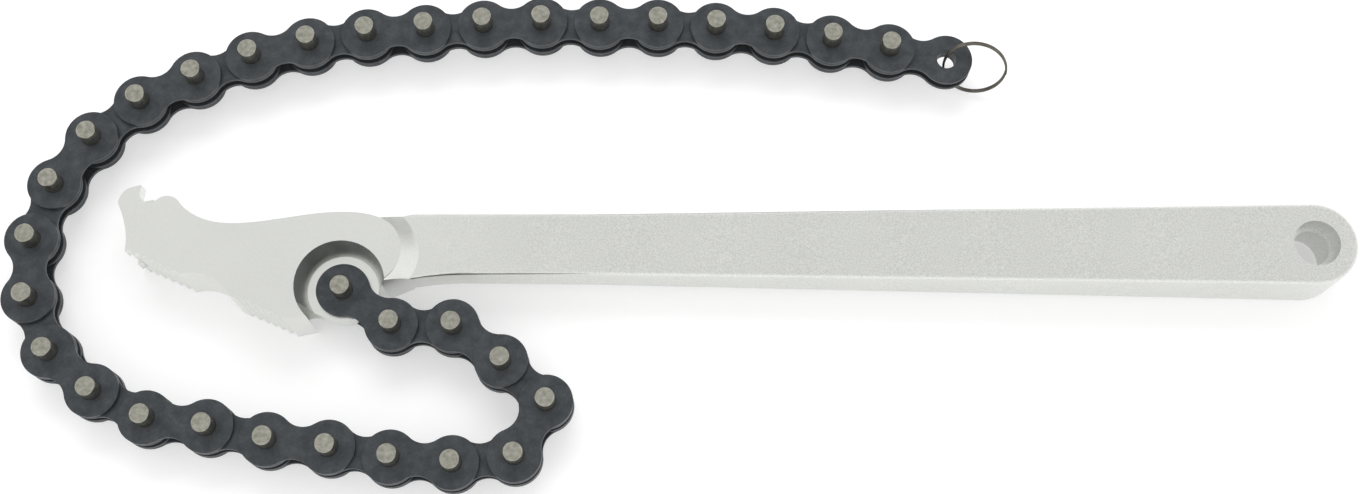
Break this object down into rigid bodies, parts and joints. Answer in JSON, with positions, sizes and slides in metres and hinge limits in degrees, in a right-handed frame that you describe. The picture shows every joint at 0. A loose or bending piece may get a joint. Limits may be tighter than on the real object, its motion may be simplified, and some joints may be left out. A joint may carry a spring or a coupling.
{
  "type": "chain oil filter wrench",
  "caption": "Chain wrench for oil filters: forged steel handle with a serrated curved head and forked hook, a waisted link chain with extended pins, and a wire ring on its free end.",
  "frame": {"origin": "centre of the hanging hole, on the middle plane of the tool's thickness", "axes": "+X along the handle, away from the head; +Z through the tool's thickness, up when it lies as in the picture; +Y across the handle, towards the back of the head"},
  "size_m": [0.3542, 0.1354, 0.0186],
  "materials": {
    "forging": "satin plated, head faces polished",
    "chain_plate": "black oxide on stamped steel, lightly worn",
    "chain_pin": "plain turned steel with a bright chamfer",
    "ring_wire": "dark spring wire"
  },
  "bodies": {
    "handle": {"handle": "forging"},
    "link_01": {"outer_link_01": "chain_plate", "link_pins_01": "chain_pin", "anchor_pin": "chain_pin"},
    "link_02": {"inner_link_01": "chain_plate"},
    "link_03": {"outer_link_02": "chain_plate", "link_pins_02": "chain_pin"},
    "link_04": {"inner_link_02": "chain_plate"},
    "link_05": {"outer_link_03": "chain_plate", "link_pins_03": "chain_pin"},
    "link_06": {"inner_link_03": "chain_plate"},
    "link_07": {"outer_link_04": "chain_plate", "link_pins_04": "chain_pin"},
    "link_08": {"inner_link_04": "chain_plate"},
    "link_09": {"outer_link_05": "chain_plate", "link_pins_05": "chain_pin"},
    "link_10": {"inner_link_05": "chain_plate"},
    "link_11": {"outer_link_06": "chain_plate", "link_pins_06": "chain_pin"},
    "link_12": {"inner_link_06": "chain_plate"},
    "link_13": {"outer_link_07": "chain_plate", "link_pins_07": "chain_pin"},
    "link_14": {"inner_link_07": "chain_plate"},
    "link_15": {"outer_link_08": "chain_plate", "link_pins_08": "chain_pin"},
    "link_16": {"inner_link_08": "chain_plate"},
    "link_17": {"outer_link_09": "chain_plate", "link_pins_09": "chain_pin"},
    "link_18": {"inner_link_09": "chain_plate"},
    "link_19": {"outer_link_10": "chain_plate", "link_pins_10": "chain_pin"},
    "link_20": {"inner_link_10": "chain_plate"},
    "link_21": {"outer_link_11": "chain_plate", "link_pins_11": "chain_pin"},
    "link_22": {"inner_link_11": "chain_plate"},
    "link_23": {"outer_link_12": "chain_plate", "link_pins_12": "chain_pin"},
    "link_24": {"inner_link_12": "chain_plate"},
    "link_25": {"outer_link_13": "chain_plate", "link_pins_13": "chain_pin"},
    "link_26": {"inner_link_13": "chain_plate"},
    "link_27": {"outer_link_14": "chain_plate", "link_pins_14": "chain_pin"},
    "link_28": {"inner_link_14": "chain_plate"},
    "link_29": {"outer_link_15": "chain_plate", "link_pins_15": "chain_pin"},
    "link_30": {"inner_link_15": "chain_plate"},
    "link_31": {"outer_link_16": "chain_plate", "link_pins_16": "chain_pin"},
    "link_32": {"inner_link_16": "chain_plate"},
    "ring": {"split_ring": "ring_wire"}
  },
  "joints": [
    {"name": "anchor_hinge", "type": "hinge", "parent": "handle", "child": "link_01", "pos_m": [-0.2539, -0.0123, 0], "axis": [0, 0, 1], "range_deg": [-8, 6]},
    {"name": "chain_hinge_02", "type": "hinge", "parent": "link_01", "child": "link_02", "pos_m": [-0.2409, -0.02141, 0], "axis": [0, 0, -1], "range_deg": [-18, 10]},
    {"name": "chain_hinge_03", "type": "hinge", "parent": "link_02", "child": "link_03", "pos_m": [-0.22502, -0.02168, 0], "axis": [0, 0, 1], "range_deg": [-10, 26]},
    {"name": "chain_hinge_04", "type": "hinge", "parent": "link_03", "child": "link_04", "pos_m": [-0.21218, -0.03101, 0], "axis": [0, 0, -1], "range_deg": [-22, 12]},
    {"name": "chain_hinge_05", "type": "hinge", "parent": "link_04", "child": "link_05", "pos_m": [-0.20038, -0.04164, 0], "axis": [0, 0, 1], "range_deg": [-12, 20]},
    {"name": "chain_hinge_06", "type": "hinge", "parent": "link_05", "child": "link_06", "pos_m": [-0.20808, -0.05552, 0], "axis": [0, 0, -1], "range_deg": [-32, 12]},
    {"name": "chain_hinge_07", "type": "hinge", "parent": "link_06", "child": "link_07", "pos_m": [-0.22384, -0.05746, 0], "axis": [0, 0, 1], "range_deg": [-10, 62]},
    {"name": "chain_hinge_08", "type": "hinge", "parent": "link_07", "child": "link_08", "pos_m": [-0.23965, -0.05607, 0], "axis": [0, 0, -1], "range_deg": [-64, 10]},
    {"name": "chain_hinge_09", "type": "hinge", "parent": "link_08", "child": "link_09", "pos_m": [-0.25533, -0.05359, 0], "axis": [0, 0, 1], "range_deg": [-8, 62]},
    {"name": "chain_hinge_10", "type": "hinge", "parent": "link_09", "child": "link_10", "pos_m": [-0.27109, -0.05165, 0], "axis": [0, 0, -1], "range_deg": [-66, 8]},
    {"name": "chain_hinge_11", "type": "hinge", "parent": "link_10", "child": "link_11", "pos_m": [-0.28661, -0.04835, 0], "axis": [0, 0, 1], "range_deg": [-8, 62]},
    {"name": "chain_hinge_12", "type": "hinge", "parent": "link_11", "child": "link_12", "pos_m": [-0.30234, -0.04614, 0], "axis": [0, 0, -1], "range_deg": [-68, 6]},
    {"name": "chain_hinge_13", "type": "hinge", "parent": "link_12", "child": "link_13", "pos_m": [-0.3166, -0.03918, 0], "axis": [0, 0, 1], "range_deg": [-6, 58]},
    {"name": "chain_hinge_14", "type": "hinge", "parent": "link_13", "child": "link_14", "pos_m": [-0.32876, -0.02898, 0], "axis": [0, 0, -1], "range_deg": [-58, 6]},
    {"name": "chain_hinge_15", "type": "hinge", "parent": "link_14", "child": "link_15", "pos_m": [-0.33547, -0.01459, 0], "axis": [0, 0, 1], "range_deg": [-6, 60]},
    {"name": "chain_hinge_16", "type": "hinge", "parent": "link_15", "child": "link_16", "pos_m": [-0.3363, 0.00126, 0], "axis": [0, 0, -1], "range_deg": [-60, 6]},
    {"name": "chain_hinge_17", "type": "hinge", "parent": "link_16", "child": "link_17", "pos_m": [-0.33193, 0.01652, 0], "axis": [0, 0, 1], "range_deg": [-6, 58]},
    {"name": "chain_hinge_18", "type": "hinge", "parent": "link_17", "child": "link_18", "pos_m": [-0.32328, 0.02983, 0], "axis": [0, 0, -1], "range_deg": [-58, 6]},
    {"name": "chain_hinge_19", "type": "hinge", "parent": "link_18", "child": "link_19", "pos_m": [-0.3113, 0.04025, 0], "axis": [0, 0, 1], "range_deg": [-6, 58]},
    {"name": "chain_hinge_20", "type": "hinge", "parent": "link_19", "child": "link_20", "pos_m": [-0.29716, 0.04746, 0], "axis": [0, 0, -1], "range_deg": [-58, 8]},
    {"name": "chain_hinge_21", "type": "hinge", "parent": "link_20", "child": "link_21", "pos_m": [-0.28244, 0.0534, 0], "axis": [0, 0, 1], "range_deg": [-8, 60]},
    {"name": "chain_hinge_22", "type": "hinge", "parent": "link_21", "child": "link_22", "pos_m": [-0.2671, 0.05751, 0], "axis": [0, 0, -1], "range_deg": [-58, 8]},
    {"name": "chain_hinge_23", "type": "hinge", "parent": "link_22", "child": "link_23", "pos_m": [-0.25147, 0.06027, 0], "axis": [0, 0, 1], "range_deg": [-10, 60]},
    {"name": "chain_hinge_24", "type": "hinge", "parent": "link_23", "child": "link_24", "pos_m": [-0.23566, 0.06165, 0], "axis": [0, 0, -1], "range_deg": [-60, 10]},
    {"name": "chain_hinge_25", "type": "hinge", "parent": "link_24", "child": "link_25", "pos_m": [-0.21984, 0.06304, 0], "axis": [0, 0, 1], "range_deg": [-12, 60]},
    {"name": "chain_hinge_26", "type": "hinge", "parent": "link_25", "child": "link_26", "pos_m": [-0.20399, 0.06387, 0], "axis": [0, 0, -1], "range_deg": [-60, 14]},
    {"name": "chain_hinge_27", "type": "hinge", "parent": "link_26", "child": "link_27", "pos_m": [-0.18811, 0.06359, 0], "axis": [0, 0, 1], "range_deg": [-18, 60]},
    {"name": "chain_hinge_28", "type": "hinge", "parent": "link_27", "child": "link_28", "pos_m": [-0.17224, 0.06359, 0], "axis": [0, 0, -1], "range_deg": [-64, 22]},
    {"name": "chain_hinge_29", "type": "hinge", "parent": "link_28", "child": "link_29", "pos_m": [-0.15639, 0.06276, 0], "axis": [0, 0, 1], "range_deg": [-28, 60]},
    {"name": "chain_hinge_30", "type": "hinge", "parent": "link_29", "child": "link_30", "pos_m": [-0.14057, 0.06138, 0], "axis": [0, 0, -1], "range_deg": [-100, 38]},
    {"name": "chain_hinge_31", "type": "hinge", "parent": "link_30", "child": "link_31", "pos_m": [-0.12485, 0.05917, 0], "axis": [0, 0, 1], "range_deg": [-100, 100]},
    {"name": "chain_hinge_32", "type": "hinge", "parent": "link_31", "child": "link_32", "pos_m": [-0.10917, 0.05668, 0], "axis": [0, 0, -1], "range_deg": [-100, 100]},
    {"name": "ring_swivel", "type": "hinge", "parent": "link_32", "child": "ring", "pos_m": [-0.09354, 0.05393, 0], "axis": [0, 0, 1], "range_deg": [-80, 80]}
  ]
}
